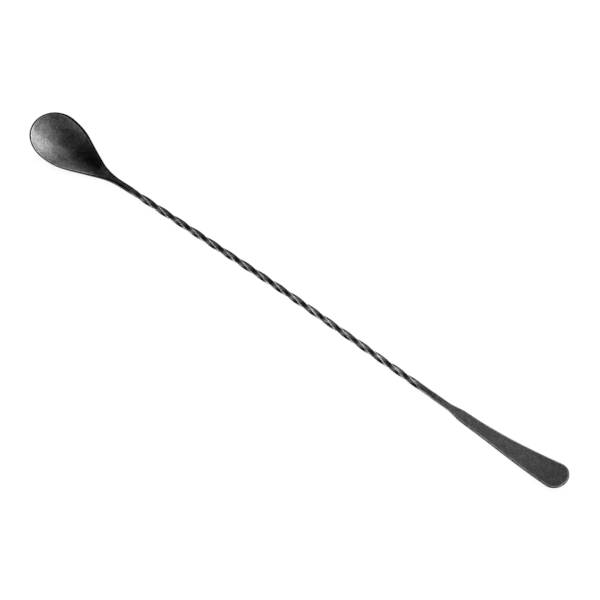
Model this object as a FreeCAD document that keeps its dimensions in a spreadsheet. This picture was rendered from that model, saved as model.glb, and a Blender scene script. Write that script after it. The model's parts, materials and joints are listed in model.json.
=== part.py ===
import FreeCAD, Part
import math
import os

import Sketcher

# Bar spoon: a pressed teardrop bowl, a twisted square rod and a flat paddle, joined end to end by
# two dressed butt welds.  Millimetres.  +X runs along the spoon from the bowl to the paddle, +Z is
# up, and the origin is under the middle of the spoon on the surface that it lies on.

DRIVING_DIMENSIONS = {
    # whole spoon
    "overall_length": 335.0,
    "bar_side": 2.75,
    # bowl
    "bowl_width": 27.3,
    "widest_from_tip": 14.9,       # the end towards the tip is half an oval of this half length
    "shoulder_length": 21.2,       # half length of the oval that leads from there to the flanks
    "flank_angle": 24.8,           # degrees between a straight flank and the spoon's axis
    "neck_flare_radius": 36.0,
    "bowl_gauge": 1.0,
    "keel_from_tip": 24.0,         # deepest point of the bowl
    "tip_height": 9.9,             # inside of the rim at the tip, above the table
    "dish_radius": 16.2,           # curvature across the bowl at its keel
    "dish_fade_start": 36.0,       # from the tip: the hollow starts to level out
    "dish_fade_end": 45.5,         # from the tip: the neck's top is flat across
    "gauge_rise_start": 34.5,      # from the tip: the sheet starts to thicken into the neck
    "gauge_rise_end": 58.5,
    # run of the rod in side view
    "bowl_weld_from_tip": 62.5,
    "bowl_weld_height": 4.13,      # rod's axis above the table at the bowl's weld
    "rod_bend_from_tip": 162.0,    # where the rod's two straight runs would meet
    "rod_bend_height": 7.5,
    "rod_bend_radius": 400.0,
    "paddle_weld_from_tip": 254.0,
    "paddle_weld_height": 2.5,
    # twist
    "quarter_turns": 17.0,
    "quarter_pitch": 10.58,
    "twist_from_tip": 65.3,
    "twist_ease": 4.0,             # the twist starts and stops over this length
    # welds
    "groove_half_width": 0.7,
    "root_side": 1.1,
    "weld_crown": 0.07,
    # paddle
    "neck_end": 71.4,              # from the paddle's end: the neck starts to flare
    "blade_root": 64.0,            # from the end: outer corner of the shoulder
    "blade_root_width": 5.5,
    "blade_end_radius": 7.05,
    "hollow_radius": 540.0,        # the blade's sides start slightly concave
    "hollow_end": 32.0,            # from the end: they run on straight from here
    "shoulder_inner_radius": 12.0,
    "shoulder_outer_radius": 4.0,
    "blade_gauge": 2.0,
    "taper_end": 54.0,             # from the end: the neck's thickness has come down to the blade's
    "curl_start": 46.3,            # from the end: the underside leaves the table
    "curl_radius": 175.0,
    "blade_edge_radius": 0.5,
    # stock that is cut away
    "stock_margin": 2.0,           # how far the cut stock runs past the finished piece
    "stock_depth": 40.0,           # deeper than the spoon is high or wide
}

BOWL_SPAN_STATIONS = 45            # rows of points that each pressed surface passes through
BOWL_CROSS_STATIONS = 9
TWIST_STEPS_PER_QUARTER = 12
TOUCHING = 1e-3                    # points closer than this are the same point

doc = FreeCAD.newDocument("bar_spoon")


def make_sheet():
    """Spreadsheet with one aliased row for each driving dimension."""
    table = doc.addObject("Spreadsheet::Sheet", "dimensions")
    for row, (alias, value) in enumerate(DRIVING_DIMENSIONS.items(), start=1):
        table.set("A%d" % row, alias)
        table.set("B%d" % row, str(value))
        table.setAlias("B%d" % row, alias)
    doc.recompute()
    return table


sheet = make_sheet()


def dim(alias):
    return float(getattr(sheet, alias))


def from_tip(alias):
    """X of a place that is measured from the bowl's tip."""
    return dim(alias) - dim("overall_length") / 2


def from_end(alias):
    """X of a place that is measured from the paddle's end."""
    return dim("overall_length") / 2 - dim(alias)


def bind(target, path, expression):
    """Bind one property to the sheet; an alias in angle brackets stands for its cell."""
    cells = expression.replace("<", "dimensions.").replace(">", "")
    target.setExpression(path, cells)


def smooth_step(low, high, value):
    """0 below low, 1 above high, with level ends."""
    fraction = min(1.0, max(0.0, (value - low) / (high - low)))
    return fraction * fraction * (3 - 2 * fraction)


# ---------------------------------------------------------------- run of the rod in side view

BEND_X = from_tip("rod_bend_from_tip")
BEND_Z = dim("rod_bend_height")
RISE = (BEND_Z - dim("bowl_weld_height")) / (BEND_X - from_tip("bowl_weld_from_tip"))
FALL = (BEND_Z - dim("paddle_weld_height")) / (from_tip("paddle_weld_from_tip") - BEND_X)
BEND_REACH = dim("rod_bend_radius") * math.tan((math.atan(RISE) + math.atan(FALL)) / 2)


def rod_height(x):
    """Height of the rod's axis: two straight runs joined by one tangent arc."""
    start = BEND_X - BEND_REACH * math.cos(math.atan(RISE))
    end = BEND_X + BEND_REACH * math.cos(math.atan(FALL))
    if x <= start:
        return BEND_Z + RISE * (x - BEND_X)
    if x >= end:
        return BEND_Z - FALL * (x - BEND_X)
    radius = dim("rod_bend_radius")
    centre_x = start + radius * math.sin(math.atan(RISE))
    centre_z = BEND_Z + RISE * (start - BEND_X) - radius * math.cos(math.atan(RISE))
    return centre_z + math.sqrt(radius ** 2 - (x - centre_x) ** 2)


def rod_slope(x):
    """Angle of the rod's axis above level, in radians."""
    step = 0.01
    return math.atan2(rod_height(x + step) - rod_height(x - step), 2 * step)


def rod_frame(x):
    """Placement at a point of the rod's axis, its local X along the rod and local Z up."""
    turn = FreeCAD.Rotation(FreeCAD.Vector(0, 1, 0), -math.degrees(rod_slope(x)))
    return FreeCAD.Placement(FreeCAD.Vector(x, 0, rod_height(x)), turn)


# ---------------------------------------------------------------------------------- the welds

def make_wedge(name, side_at_joint, side_at_groove_edge, direction):
    """Square frustum along the rod from the joint plane to the groove's edge on one side."""
    wedge = doc.addObject("Part::Wedge", name)
    for axis in ("X", "Z"):
        for end, sign in (("min", "-"), ("max", "")):
            bind(wedge, axis + end, "%s(%s) / 2" % (sign, side_at_joint))
            bind(wedge, axis + "2" + end, "%s(%s) / 2" % (sign, side_at_groove_edge))
    wedge.Ymin = 0
    bind(wedge, "Ymax", "<groove_half_width>")
    quarter = FreeCAD.Rotation(FreeCAD.Vector(0, 0, 1), -90 * direction)
    wedge.Placement = FreeCAD.Placement(FreeCAD.Vector(), quarter)
    return wedge


def make_weld(label, joint_x):
    """Ring of weld metal in the V groove round the root faces, with a slightly proud crown."""
    crowns = []
    roots = []
    for direction, side in ((1, "paddle_side"), (-1, "bowl_side")):
        crowned = "<bar_side> + 2 * <weld_crown>"
        crowns.append(make_wedge(label + "_crown_" + side, crowned, "<bar_side>", direction))
        roots.append(make_wedge(label + "_root_" + side, "<root_side>", "<bar_side>", direction))
    solids = []
    for name, halves in (("crown", crowns), ("root", roots)):
        fuse = doc.addObject("Part::MultiFuse", label + "_" + name)
        fuse.Shapes = halves
        solids.append(fuse)
    ring = doc.addObject("Part::Cut", label)
    ring.Base, ring.Tool = solids
    ring.Placement = rod_frame(joint_x)
    return ring


bowl_weld = make_weld("bowl_weld", from_tip("bowl_weld_from_tip"))
paddle_weld = make_weld("paddle_weld", from_tip("paddle_weld_from_tip"))
doc.recompute()


# ----------------------------------------------------------------------------------- the bowl

def keel_height(x):
    """Inside of the bowl and top of the neck along the middle of the spoon."""
    tip = -dim("overall_length") / 2
    deepest = from_tip("keel_from_tip")
    floor = dim("bowl_gauge")
    if x <= deepest:
        climb = (x - deepest) / (tip - deepest)
        return floor + (dim("tip_height") - floor) * climb ** 2
    # one cubic carries the keel from the deepest point, where it is level, into line with the rod
    joint = from_tip("bowl_weld_from_tip")
    reach = joint - deepest
    rod_top = rod_height(joint) + dim("bar_side") / 2
    u = (x - deepest) / reach
    rise = (rod_top - floor) * (3 * u ** 2 - 2 * u ** 3)
    return floor + rise + RISE * reach * (u ** 3 - u ** 2)


def dish_curvature(x):
    """The hollow's cross section is keel + curvature * y^2, and it levels out at the neck."""
    full = 1 / (2 * dim("dish_radius"))
    return full * (1 - smooth_step(from_tip("dish_fade_start"), from_tip("dish_fade_end"), x))


def sheet_gauge(x):
    """Upright thickness of the pressing: sheet in the bowl, full bar in the neck."""
    growth = smooth_step(from_tip("gauge_rise_start"), from_tip("gauge_rise_end"), x)
    return dim("bowl_gauge") + (dim("bar_side") - dim("bowl_gauge")) * growth


def pressed_face(underside):
    """Smooth face through the upper or under surface of the pressing, wider than the blank."""
    first = -dim("overall_length") / 2 - dim("stock_margin")
    last = from_tip("bowl_weld_from_tip") + dim("stock_margin")
    half_width = dim("bowl_width") / 2 + dim("stock_margin")
    rows = []
    for i in range(BOWL_SPAN_STATIONS):
        x = first + (last - first) * i / (BOWL_SPAN_STATIONS - 1)
        row = []
        for j in range(BOWL_CROSS_STATIONS):
            y = half_width * (2 * j / (BOWL_CROSS_STATIONS - 1) - 1)
            z = keel_height(x) + dish_curvature(x) * y ** 2
            if underside:
                z -= sheet_gauge(x)
            row.append(FreeCAD.Vector(x, y, z))
        rows.append(row)
    surface = Part.BSplineSurface()
    surface.interpolate(rows)
    return surface.toShape()


def bowl_outline():
    """Blank seen from above: egg-shaped bowl of two half ovals, straight flanks, flared neck."""
    tip_length = dim("widest_from_tip")
    neck_length = dim("shoulder_length")
    half_width = dim("bowl_width") / 2
    neck = dim("bar_side") / 2
    widest = FreeCAD.Vector(from_tip("widest_from_tip"), 0, 0)
    turn = math.radians(dim("flank_angle"))
    # the flank leaves the longer oval where the oval's own slope is the flank's
    leave = math.atan2(half_width, neck_length * math.tan(turn))
    leave_x = widest.x + neck_length * math.cos(leave)
    leave_y = half_width * math.sin(leave)
    # the flare is an arc tangent to the flank and to the neck's side
    radius = dim("neck_flare_radius")
    flare_top_y = neck + radius * (1 - math.cos(turn))
    flare_top_x = leave_x + (leave_y - flare_top_y) / math.tan(turn)
    flare_end_x = flare_top_x + radius * math.sin(turn)
    flare_mid_x = flare_end_x - radius * math.sin(turn / 2)
    flare_mid_y = neck + radius * (1 - math.cos(turn / 2))
    joint_x = from_tip("bowl_weld_from_tip") + dim("stock_margin")
    tip_oval = Part.Ellipse(widest, tip_length, half_width)
    neck_oval = Part.Ellipse(widest, neck_length, half_width)
    edges = [
        Part.ArcOfEllipse(tip_oval, math.pi / 2, 3 * math.pi / 2).toShape(),
        Part.ArcOfEllipse(neck_oval, leave, math.pi / 2).toShape(),
        Part.ArcOfEllipse(neck_oval, -math.pi / 2, -leave).toShape(),
    ]
    for side in (1, -1):
        leave_point = FreeCAD.Vector(leave_x, side * leave_y, 0)
        flare_top = FreeCAD.Vector(flare_top_x, side * flare_top_y, 0)
        flare_mid = FreeCAD.Vector(flare_mid_x, side * flare_mid_y, 0)
        flare_end = FreeCAD.Vector(flare_end_x, side * neck, 0)
        neck_end = FreeCAD.Vector(joint_x, side * neck, 0)
        edges.append(Part.makeLine(leave_point, flare_top))
        edges.append(Part.Arc(flare_top, flare_mid, flare_end).toShape())
        edges.append(Part.makeLine(flare_end, neck_end))
    joint_high = FreeCAD.Vector(joint_x, neck, 0)
    joint_low = FreeCAD.Vector(joint_x, -neck, 0)
    edges.append(Part.makeLine(joint_high, joint_low))
    return Part.Face(Part.Wire(Part.__sortEdges__(edges)))


def cut_at_joint(shape, joint_x):
    """Cut off what lies past the weld's joint plane, square to the rod."""
    side = dim("stock_depth")
    block = Part.makeBox(side, side, side, FreeCAD.Vector(0, -side / 2, -side / 2))
    block.Placement = rod_frame(joint_x)
    return shape.cut(block)


def make_bowl():
    """Pressed bowl with its neck; the weld's ring takes the groove out of the neck's end."""
    depth = dim("stock_depth")
    blank = bowl_outline()
    blank.translate(FreeCAD.Vector(0, 0, -depth / 2))
    stock = blank.extrude(FreeCAD.Vector(0, 0, depth))
    above = pressed_face(False).extrude(FreeCAD.Vector(0, 0, depth))
    below = pressed_face(True).extrude(FreeCAD.Vector(0, 0, -depth))
    pressed = cut_at_joint(stock.cut(above).cut(below), from_tip("bowl_weld_from_tip"))
    pressing = doc.addObject("Part::Feature", "bowl_pressing")
    pressing.Shape = pressed.Solids[0]
    bowl = doc.addObject("Part::Cut", "bowl")
    bowl.Base = pressing
    bowl.Tool = bowl_weld
    return bowl


bowl = make_bowl()


# -------------------------------------------------------------------------- the twisted shaft

def twist_angle(x):
    """Turn of the square section, in radians: even along the rod and eased in at both ends."""
    ease = dim("twist_ease")
    pitch = dim("quarter_pitch")
    length = dim("quarter_turns") * pitch + ease
    run = min(length, max(0.0, x - from_tip("twist_from_tip") + ease / 2))
    quarters = (run - ease / 2) / pitch
    if run < ease:
        quarters = run ** 2 / (2 * ease * pitch)
    elif run > length - ease:
        quarters = dim("quarter_turns") - (length - run) ** 2 / (2 * ease * pitch)
    return quarters * math.pi / 2


def shaft_corner(x, quarter):
    """One corner of the square section, a quarter turn on for each number."""
    reach = dim("bar_side") / math.sqrt(2)
    angle = math.pi / 4 + quarter * math.pi / 2 + twist_angle(x)
    local = FreeCAD.Vector(0, reach * math.cos(angle), reach * math.sin(angle))
    return rod_frame(x).multVec(local)


def ruled_face(line, next_line):
    """Face of straight rulings between two curves that share their knots."""
    knots = line.getKnots()
    multiplicities = line.getMultiplicities()
    surface = Part.BSplineSurface()
    surface.buildFromPolesMultsKnots(
        [line.getPoles(), next_line.getPoles()],
        [2, 2],
        multiplicities,
        [0, 1],
        knots,
        False,
        False,
        1,
        line.Degree,
    )
    return surface.toShape()


def make_twisted_shaft():
    """Square rod twisted right-handed, each face ruled between two corner lines."""
    first = from_tip("bowl_weld_from_tip")
    last = from_tip("paddle_weld_from_tip")
    steps = round((last - first) / dim("quarter_pitch") * TWIST_STEPS_PER_QUARTER)
    stations = [first + (last - first) * i / steps for i in range(steps + 1)]
    corner_lines = []
    for quarter in range(4):
        curve = Part.BSplineCurve()
        points = [shaft_corner(x, quarter) for x in stations]
        curve.interpolate(Points=points, Parameters=stations)
        corner_lines.append(curve)
    faces = []
    for quarter in range(4):
        faces.append(ruled_face(corner_lines[quarter], corner_lines[(quarter + 1) % 4]))
    for x in (first, last):
        corners = [shaft_corner(x, quarter) for quarter in (0, 1, 2, 3, 0)]
        faces.append(Part.Face(Part.makePolygon(corners)))
    skin = Part.makeShell(faces)
    skin.sewShape()
    rod = doc.addObject("Part::Feature", "twisted_rod")
    rod.Shape = Part.makeSolid(skin.Shells[0])
    rings = doc.addObject("Part::MultiFuse", "weld_rings")
    rings.Shapes = [bowl_weld, paddle_weld]
    shaft = doc.addObject("Part::Cut", "twisted_shaft")
    shaft.Base = rod
    shaft.Tool = rings
    return shaft


twisted_shaft = make_twisted_shaft()


# --------------------------------------------------------------------------------- the paddle

START, END, CENTRE = 1, 2, 3       # points of a sketch element
X_AXIS = -1                        # a sketch's own horizontal axis
ORIGIN = (-1, START)


def add_sketch(body, name, plane):
    """Sketch on one of the body's own origin planes."""
    sketch = body.newObject("Sketcher::SketchObject", name)
    support = [item for item in body.Origin.OriginFeatures if item.Role == plane][0]
    sketch.AttachmentSupport = [(support, "")]
    sketch.MapMode = "FlatFace"
    return sketch


def constrain(sketch, kind, *arguments):
    return sketch.addConstraint(Sketcher.Constraint(kind, *arguments))


def size(sketch, kind, name, expression, *arguments):
    """Dimension of a sketch bound to the sheet; its first value is only a starting guess."""
    guess = abs(evaluate(expression))
    index = constrain(sketch, kind, *arguments, guess)
    sketch.renameConstraint(index, name)
    bind(sketch, "Constraints." + name, expression)


def evaluate(expression):
    """Value of an expression of sheet cells, for a sketch's starting shape."""
    value = sheet.evalExpression(expression.replace("<", "").replace(">", ""))
    return float(value)


def place(sketch, name, element, point, x_expression, y_expression=None):
    """Pin a point of the sketch to coordinates given as expressions."""
    size(sketch, "DistanceX", name + "_x", x_expression, *ORIGIN, element, point)
    if y_expression:
        size(sketch, "DistanceY", name + "_y", y_expression, *ORIGIN, element, point)


def paddle_side_profile(body):
    """Side view: neck in line with the rod, flat sole, blade curling up to its end."""
    sketch = add_sketch(body, "paddle_side_view", "XZ_Plane")
    half_length = "<overall_length> / 2"
    joint = "<paddle_weld_from_tip> - <overall_length> / 2"
    drop = "<rod_bend_height> - <paddle_weld_height>"
    run = "<paddle_weld_from_tip> - <rod_bend_from_tip>"
    fall = "atan((%s) / (%s))" % (drop, run)
    low_x = "%s - <bar_side> / 2 * sin(%s)" % (joint, fall)
    low_z = "<paddle_weld_height> - <bar_side> / 2 * cos(%s)" % fall
    high_x = "%s + <bar_side> / 2 * sin(%s)" % (joint, fall)
    high_z = "<paddle_weld_height> + <bar_side> / 2 * cos(%s)" % fall
    neck_low = FreeCAD.Vector(evaluate(low_x), evaluate(low_z), 0)
    neck_high = FreeCAD.Vector(evaluate(high_x), evaluate(high_z), 0)
    heel = FreeCAD.Vector(neck_low.x + neck_low.y / FALL, 0, 0)
    curl_low = FreeCAD.Vector(from_end("curl_start"), 0, 0)
    curl_high = FreeCAD.Vector(from_end("curl_start"), dim("blade_gauge"), 0)
    taper_high = FreeCAD.Vector(from_end("taper_end"), dim("blade_gauge"), 0)
    shoulder_x = from_end("neck_end")
    shoulder_high = FreeCAD.Vector(shoulder_x, neck_high.y - FALL * (shoulder_x - neck_high.x), 0)
    radius = dim("curl_radius")
    thin_radius = radius - dim("blade_gauge")
    centre = FreeCAD.Vector(from_end("curl_start"), radius, 0)
    up = FreeCAD.Vector(0, 0, 1)
    last_x = dim("overall_length") / 2 + dim("stock_margin")
    low_turn = math.asin((last_x - centre.x) / radius)
    high_turn = math.asin((last_x - centre.x) / thin_radius)
    down = -math.pi / 2
    low_arc = Part.ArcOfCircle(Part.Circle(centre, up, radius), down, down + low_turn)
    high_arc = Part.ArcOfCircle(Part.Circle(centre, up, thin_radius), down, down + high_turn)
    low_end = low_arc.EndPoint
    high_end = high_arc.EndPoint
    (joint_line, neck_under, sole, curl_under, end_line,
     curl_top, blade_top, taper, neck_top) = range(9)
    for piece in (
        Part.LineSegment(neck_high, neck_low),
        Part.LineSegment(neck_low, heel),
        Part.LineSegment(heel, curl_low),
        low_arc,
        Part.LineSegment(low_end, high_end),
        high_arc,
        Part.LineSegment(curl_high, taper_high),
        Part.LineSegment(taper_high, shoulder_high),
        Part.LineSegment(shoulder_high, neck_high),
    ):
        sketch.addGeometry(piece, False)
    for first, second in ((joint_line, neck_under), (neck_under, sole), (blade_top, taper),
                          (taper, neck_top), (neck_top, joint_line)):
        constrain(sketch, "Coincident", first, END, second, START)
    constrain(sketch, "Tangent", sole, END, curl_under, START)
    constrain(sketch, "Coincident", curl_under, END, end_line, START)
    constrain(sketch, "Coincident", end_line, END, curl_top, END)
    constrain(sketch, "Tangent", curl_top, START, blade_top, START)
    constrain(sketch, "Coincident", curl_under, CENTRE, curl_top, CENTRE)
    constrain(sketch, "PointOnObject", sole, START, X_AXIS)
    constrain(sketch, "Horizontal", sole)
    constrain(sketch, "Horizontal", blade_top)
    constrain(sketch, "Vertical", end_line)
    constrain(sketch, "Perpendicular", neck_under, joint_line)
    constrain(sketch, "Perpendicular", neck_top, joint_line)
    place(sketch, "neck_low", joint_line, END, low_x, low_z)
    place(sketch, "neck_high", joint_line, START, high_x, high_z)
    place(sketch, "curl_start", sole, END, half_length + " - <curl_start>")
    place(sketch, "taper_end", taper, START, half_length + " - <taper_end>")
    place(sketch, "shoulder", neck_top, START, half_length + " - <neck_end>")
    place(sketch, "stock_end", end_line, START, half_length + " + <stock_margin>")
    size(sketch, "Radius", "curl_under", "<curl_radius>", curl_under)
    size(sketch, "Radius", "curl_top", "<curl_radius> - <blade_gauge>", curl_top)
    return sketch


def mirrored(point):
    return FreeCAD.Vector(point.x, -point.y, 0)


def paddle_outline(body):
    """Seen from above: the paddle's outline inside a frame, so that a pocket trims round it."""
    sketch = add_sketch(body, "paddle_outline", "XY_Plane")
    half_length = "<overall_length> / 2"
    joint_x = from_tip("paddle_weld_from_tip") - dim("stock_margin")
    neck_y = dim("bar_side") / 2
    root = FreeCAD.Vector(from_end("blade_root"), dim("blade_root_width") / 2, 0)
    radius = dim("blade_end_radius")
    hollow = dim("hollow_radius")
    end_centre = FreeCAD.Vector(dim("overall_length") / 2 - radius, 0, 0)
    # starting shape: the solver moves these until the arc, the straight and the end are tangent
    straight = FreeCAD.Vector(from_end("hollow_end"), (root.y + radius) / 2, 0)
    touch = FreeCAD.Vector(end_centre.x, radius, 0)
    chord = straight - root
    sagitta = chord.Length ** 2 / (8 * hollow)
    hollow_middle = (root + straight) * 0.5 - FreeCAD.Vector(0, sagitta, 0)
    joint_high = FreeCAD.Vector(joint_x, neck_y, 0)
    neck_high = FreeCAD.Vector(from_end("neck_end"), neck_y, 0)
    nose = FreeCAD.Vector(end_centre.x + radius, 0, 0)
    upper = [
        Part.LineSegment(joint_high, neck_high),
        Part.LineSegment(neck_high, root),
        Part.Arc(root, hollow_middle, straight),
        Part.LineSegment(straight, touch),
    ]
    lower = [
        Part.LineSegment(mirrored(touch), mirrored(straight)),
        Part.Arc(mirrored(straight), mirrored(hollow_middle), mirrored(root)),
        Part.LineSegment(mirrored(root), mirrored(neck_high)),
        Part.LineSegment(mirrored(neck_high), mirrored(joint_high)),
    ]
    joint = Part.LineSegment(mirrored(joint_high), joint_high)
    for piece in upper + [Part.Arc(touch, nose, mirrored(touch))] + lower + [joint]:
        sketch.addGeometry(piece, False)
    (neck, flare, side, straight_side, end_arc,
     low_straight_side, low_side, low_flare, low_neck, joint_line) = range(10)
    # an arc drawn clockwise is kept the other way round, so its ends are swapped
    constrain(sketch, "Coincident", joint_line, END, neck, START)
    constrain(sketch, "Coincident", neck, END, flare, START)
    constrain(sketch, "Coincident", flare, END, side, START)
    constrain(sketch, "Tangent", side, END, straight_side, START)
    constrain(sketch, "Tangent", straight_side, END, end_arc, END)
    constrain(sketch, "Tangent", end_arc, START, low_straight_side, START)
    constrain(sketch, "Coincident", low_straight_side, END, low_side, START)
    constrain(sketch, "Coincident", low_side, END, low_flare, START)
    constrain(sketch, "Coincident", low_flare, END, low_neck, START)
    constrain(sketch, "Coincident", low_neck, END, joint_line, START)
    constrain(sketch, "Horizontal", neck)
    constrain(sketch, "Symmetric", joint_line, START, joint_line, END, X_AXIS)
    constrain(sketch, "Symmetric", neck, END, low_flare, END, X_AXIS)
    constrain(sketch, "Symmetric", flare, END, low_flare, START, X_AXIS)
    constrain(sketch, "Symmetric", straight_side, START, low_straight_side, END, X_AXIS)
    constrain(sketch, "PointOnObject", end_arc, CENTRE, X_AXIS)
    constrain(sketch, "Equal", side, low_side)
    place(sketch, "neck_start", neck, START,
          "<paddle_weld_from_tip> - <overall_length> / 2 - <stock_margin>", "<bar_side> / 2")
    place(sketch, "neck_end", neck, END, half_length + " - <neck_end>")
    place(sketch, "blade_root", flare, END,
          half_length + " - <blade_root>", "<blade_root_width> / 2")
    place(sketch, "hollow_end", straight_side, START, half_length + " - <hollow_end>")
    place(sketch, "end_centre", end_arc, CENTRE, half_length + " - <blade_end_radius>")
    size(sketch, "Radius", "end_radius", "<blade_end_radius>", end_arc)
    size(sketch, "Radius", "hollow_radius", "<hollow_radius>", side)
    # frame round the outline
    reach = dim("stock_depth") / 2
    frame_low = FreeCAD.Vector(joint_x - reach, -reach, 0)
    frame_high = FreeCAD.Vector(nose.x + reach, reach, 0)
    corners = [
        frame_low,
        FreeCAD.Vector(frame_high.x, frame_low.y, 0),
        frame_high,
        FreeCAD.Vector(frame_low.x, frame_high.y, 0),
    ]
    for index, corner in enumerate(corners):
        sketch.addGeometry(Part.LineSegment(corner, corners[(index + 1) % 4]), False)
        constrain(sketch, "Block", joint_line + 1 + index)
    return sketch


def make_paddle():
    """Flat paddle with its square neck; the weld's ring takes the groove out of the neck's end."""
    body = doc.addObject("PartDesign::Body", "paddle_blank")
    side_view = paddle_side_profile(body)
    pad = body.newObject("PartDesign::Pad", "paddle_stock")
    pad.Profile = side_view
    pad.Midplane = True
    bind(pad, "Length", "2 * (<blade_end_radius> + <stock_margin>)")
    doc.recompute()
    outline = paddle_outline(body)
    trim = body.newObject("PartDesign::Pocket", "paddle_trim")
    trim.Profile = outline
    trim.Type = "ThroughAll"
    trim.Midplane = True
    doc.recompute()
    shoulders = (
        ("paddle_shoulder_inner", "neck_end", "<shoulder_inner_radius>"),
        ("paddle_shoulder_outer", "blade_root", "<shoulder_outer_radius>"),
    )
    last = trim
    for name, place_alias, radius in shoulders:
        edges = upright_edges(last.Shape, from_end(place_alias))
        last = round_edges(body, name, last, edges, radius)
    last = round_edges(body, "paddle_edges", last, rim_edges(last.Shape), "<blade_edge_radius>")
    paddle = doc.addObject("Part::Cut", "paddle")
    paddle.Base = body
    paddle.Tool = paddle_weld
    return paddle


def is_upright(start, end):
    return abs(start.x - end.x) < TOUCHING and abs(start.y - end.y) < TOUCHING


def upright_edges(shape, x):
    """Names of the upright edges at a given distance along the spoon."""
    names = []
    for number, edge in enumerate(shape.Edges, start=1):
        start, end = edge.Vertexes[0].Point, edge.Vertexes[-1].Point
        if is_upright(start, end) and abs(start.x - x) < TOUCHING:
            names.append("Edge%d" % number)
    return names


def rim_edges(shape):
    """Names of the edges that run round the paddle's top and sole, without the neck's end."""
    names = []
    to_joint = rod_frame(from_tip("paddle_weld_from_tip")).inverse()
    for number, edge in enumerate(shape.Edges, start=1):
        start, end = edge.Vertexes[0].Point, edge.Vertexes[-1].Point
        crossing = abs(start.x - end.x) < TOUCHING and abs(start.z - end.z) < TOUCHING
        at_joint = abs(to_joint.multVec(start).x) < TOUCHING
        at_joint = at_joint and abs(to_joint.multVec(end).x) < TOUCHING
        if not (is_upright(start, end) or crossing or at_joint):
            names.append("Edge%d" % number)
    return names


def round_edges(body, name, base, edge_names, radius):
    fillet = body.newObject("PartDesign::Fillet", name)
    fillet.Base = (base, edge_names)
    bind(fillet, "Radius", radius)
    doc.recompute()
    return fillet


paddle = make_paddle()
doc.recompute()


# --------------------------------------------------------------------------------- the output

SUB_PARTS = (bowl, bowl_weld, twisted_shaft, paddle_weld, paddle)


def check_document():
    """Stop before a file is written if an object failed or a sub-part isn't one sound solid."""
    for item in doc.Objects:
        if "Invalid" in item.State or "Error" in item.State:
            raise RuntimeError("%s did not compute: %s" % (item.Name, item.State))
    for part in SUB_PARTS:
        shape = part.Shape
        if shape.isNull() or not shape.isValid() or len(shape.Solids) != 1:
            raise RuntimeError("%s is not one sound solid" % part.Label)


def export_parts():
    os.makedirs("parts", exist_ok=True)
    for part in SUB_PARTS:
        part.Shape.exportStep("parts/%s.step" % part.Label)
        print("%s: %.1f mm3" % (part.Label, part.Shape.Volume))


check_document()
export_parts()
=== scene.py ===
import json
import math

import bmesh
import bpy
from mathutils import Matrix, Vector


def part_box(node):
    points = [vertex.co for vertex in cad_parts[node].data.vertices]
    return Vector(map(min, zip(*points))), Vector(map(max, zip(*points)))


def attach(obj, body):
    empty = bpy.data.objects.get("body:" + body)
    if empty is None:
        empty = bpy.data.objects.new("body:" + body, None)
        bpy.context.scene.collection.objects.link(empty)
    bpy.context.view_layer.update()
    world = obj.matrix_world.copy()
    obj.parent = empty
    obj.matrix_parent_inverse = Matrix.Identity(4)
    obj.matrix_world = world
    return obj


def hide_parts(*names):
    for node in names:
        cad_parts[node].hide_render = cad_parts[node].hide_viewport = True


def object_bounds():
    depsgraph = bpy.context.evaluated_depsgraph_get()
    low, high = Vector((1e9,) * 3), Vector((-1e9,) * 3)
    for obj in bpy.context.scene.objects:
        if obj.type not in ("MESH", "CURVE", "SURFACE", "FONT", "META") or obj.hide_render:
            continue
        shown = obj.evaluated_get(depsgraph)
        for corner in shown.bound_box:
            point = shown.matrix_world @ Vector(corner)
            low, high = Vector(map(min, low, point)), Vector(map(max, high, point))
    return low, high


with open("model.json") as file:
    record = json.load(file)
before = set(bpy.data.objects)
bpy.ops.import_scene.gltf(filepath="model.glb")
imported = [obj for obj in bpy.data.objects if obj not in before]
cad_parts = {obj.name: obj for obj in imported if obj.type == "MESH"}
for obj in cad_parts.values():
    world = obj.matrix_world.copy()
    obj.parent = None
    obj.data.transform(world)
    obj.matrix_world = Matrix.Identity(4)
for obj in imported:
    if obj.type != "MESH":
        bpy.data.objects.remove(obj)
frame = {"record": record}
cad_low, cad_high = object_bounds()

# Bar spoon lying open side up: pressed bowl, twisted square rod and flat paddle, with a dressed
# weld at each joint.  Metres, in the CAD frame: +X from the bowl to the paddle, +Z up.

MM = 0.001

# ------------------------------------------------------------------------- dimensions

# rod
BAR_SIDE = 2.75 * MM
BAR_CORNER = 0.3 * MM              # rounding of the square bar's long edges
BEND_FROM_TIP = 162 * MM           # where the rod's two straight runs would meet
BEND_HEIGHT = 7.5 * MM
BEND_RADIUS = 400 * MM
# twist
QUARTER_TURNS = 17
QUARTER_PITCH = 10.58 * MM
TWIST_FROM_TIP = 65.3 * MM
TWIST_EASE = 4 * MM
# welds
GROOVE = 0.7 * MM                  # half width of the groove, along the rod
ROOT_SIDE = 1.1 * MM               # side of the square face where the two bars touch
CROWN = 0.07 * MM
# bowl
WIDEST_FROM_TIP = 14.9 * MM
SHOULDER_LENGTH = 21.2 * MM
FLANK_ANGLE = math.radians(24.8)
FLARE_RADIUS = 36 * MM
BOWL_GAUGE = 1.0 * MM
KEEL_FROM_TIP = 24 * MM
TIP_HEIGHT = 9.9 * MM
DISH_RADIUS = 16.2 * MM
DISH_FADE = (36 * MM, 45.5 * MM)
GAUGE_RISE = (34.5 * MM, 58.5 * MM)
BOWL_RIM = (0.75 * MM, 0.45 * MM)  # rounding of the rim: how far in and how far down
RIM_FADE = (34 * MM, 50 * MM)      # from the tip, where the rounding lessens
RIM_LOSS = 0.7                     # and by what share
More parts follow.
